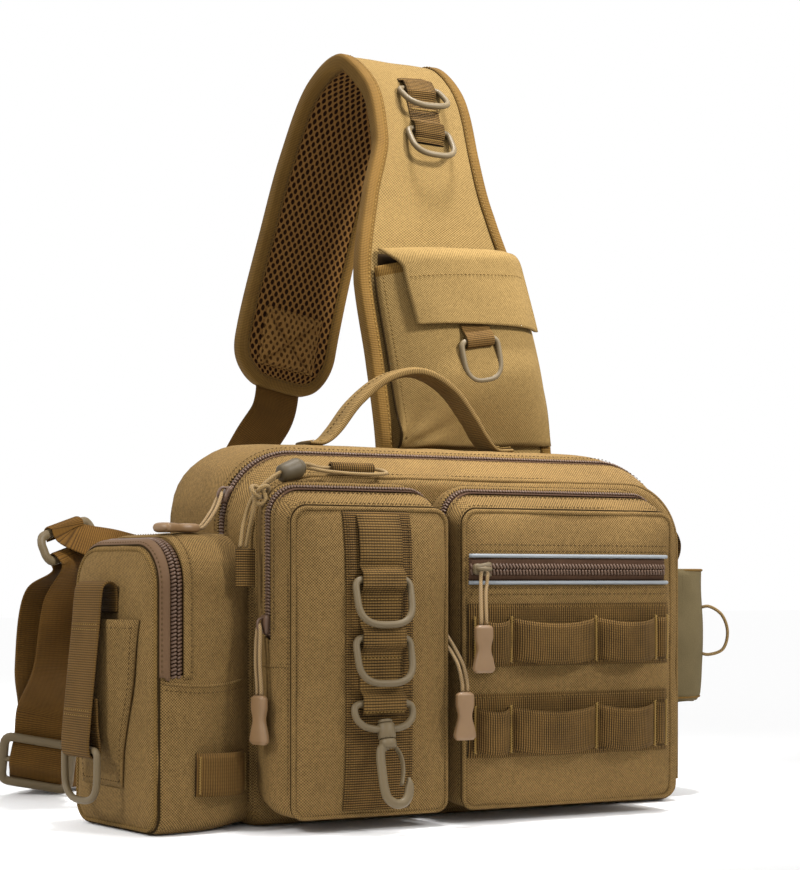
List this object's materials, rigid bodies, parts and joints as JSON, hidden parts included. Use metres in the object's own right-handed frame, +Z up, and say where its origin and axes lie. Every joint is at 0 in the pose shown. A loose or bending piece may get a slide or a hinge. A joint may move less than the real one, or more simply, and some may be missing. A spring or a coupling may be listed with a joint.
{
  "type": "fishing bag",
  "caption": "Soft cloth fishing bag with a zipped main compartment, front and end pockets, loop webbing, rings, a snap hook and a padded sling strap with a phone pocket.",
  "frame": {"origin": "on the floor at the middle of the flat base of the main compartment", "axes": "+X along the bag to its right end, -Y out of the front pockets, +Z up along the sling strap"},
  "size_m": [0.4657, 0.3744, 0.5293],
  "materials": {
    "cloth": "twill-woven tan nylon",
    "webbing": "ribbed tan webbing",
    "moulding": "satin moulded",
    "zip": "brown coil on woven tape",
    "lining": "open spacer mesh",
    "trim": "grey reflective piping",
    "loop_cloth": "brushed loop cloth",
    "cord": "braided cord",
    "pull": "satin moulded"
  },
  "bodies": {
    "bag": {"base_panel": "cloth", "main_front": "cloth", "main_back": "cloth", "main_zip": "zip", "left_pocket": "cloth", "left_zip": "zip", "left_sleeve": "cloth", "left_hanger": "webbing", "tool_loop": "webbing", "middle_pocket": "cloth", "middle_zip": "zip", "right_pocket": "cloth", "right_zip": "zip", "face_zip": "zip", "face_piping_upper": "trim", "face_piping_lower": "trim", "loop_base_upper": "webbing", "loop_webbing_upper": "webbing", "loop_base_lower": "webbing", "loop_webbing_lower": "webbing", "column_base": "webbing", "column_webbing": "webbing", "end_pouch": "loop_cloth", "end_tab": "webbing", "end_cord": "cord", "strap_pad": "cloth", "strap_mesh": "lining", "strap_binding": "webbing", "phone_pocket": "cloth", "phone_flap": "cloth", "phone_tab": "webbing", "strap_tab": "webbing", "strap_slide": "moulding", "strap_adjuster": "moulding", "strap_webbing": "webbing", "strap_anchor": "webbing", "carry_handle": "webbing", "draw_tunnel": "webbing", "cord_lock": "moulding", "draw_cord": "cord", "draw_tab": "webbing", "main_pull": "pull", "main_pull_cord": "cord", "middle_pull": "pull", "middle_pull_cord": "cord", "right_pull": "pull", "right_pull_cord": "cord", "face_pull": "pull", "face_pull_cord": "cord"},
    "left_ring": {"left_ring": "moulding"},
    "column_ring_upper": {"column_ring_upper": "moulding"},
    "column_ring_lower": {"column_ring_lower": "moulding"},
    "hook_eye": {"hook_eye": "moulding"},
    "phone_ring": {"phone_ring": "moulding"},
    "strap_ring_upper": {"strap_ring_upper": "moulding"},
    "strap_ring_lower": {"strap_ring_lower": "moulding"},
    "snap_hook": {"snap_hook": "moulding"}
  },
  "joints": [
    {"name": "left_ring_swing", "type": "hinge", "parent": "bag", "child": "left_ring", "pos_m": [-0.24002, -0.02718, 0.048], "axis": [-0.1564, 0.9877, 0], "range_deg": [-20, 140]},
    {"name": "column_ring_upper_swing", "type": "hinge", "parent": "bag", "child": "column_ring_upper", "pos_m": [-0.0865, -0.11463, 0.147], "axis": [-1, 0, 0], "range_deg": [0, 140]},
    {"name": "column_ring_lower_swing", "type": "hinge", "parent": "bag", "child": "column_ring_lower", "pos_m": [-0.0865, -0.1151, 0.113], "axis": [-1, 0, 0], "range_deg": [0, 120]},
    {"name": "hook_eye_swing", "type": "hinge", "parent": "bag", "child": "hook_eye", "pos_m": [-0.0865, -0.1151, 0.075], "axis": [-1, 0, 0], "range_deg": [0, 90]},
    {"name": "phone_ring_swing", "type": "hinge", "parent": "bag", "child": "phone_ring", "pos_m": [0.07135, 0.04421, 0.31289], "axis": [-0.985, -0.0175, -0.1719], "range_deg": [0, 140]},
    {"name": "strap_ring_upper_swing", "type": "hinge", "parent": "bag", "child": "strap_ring_upper", "pos_m": [0.06234, 0.11616, 0.50094], "axis": [-0.9985, -0.0305, -0.0459], "range_deg": [-15, 140]},
    {"name": "strap_ring_lower_swing", "type": "hinge", "parent": "bag", "child": "strap_ring_lower", "pos_m": [0.06236, 0.10144, 0.46835], "axis": [-0.9994, 0.011, 0.0313], "range_deg": [-15, 110]},
    {"name": "snap_hook_swivel", "type": "hinge", "parent": "hook_eye", "child": "snap_hook", "pos_m": [-0.0865, -0.1151, 0.075], "axis": [0, 0.2667, 0.9638], "continuous": true}
  ]
}
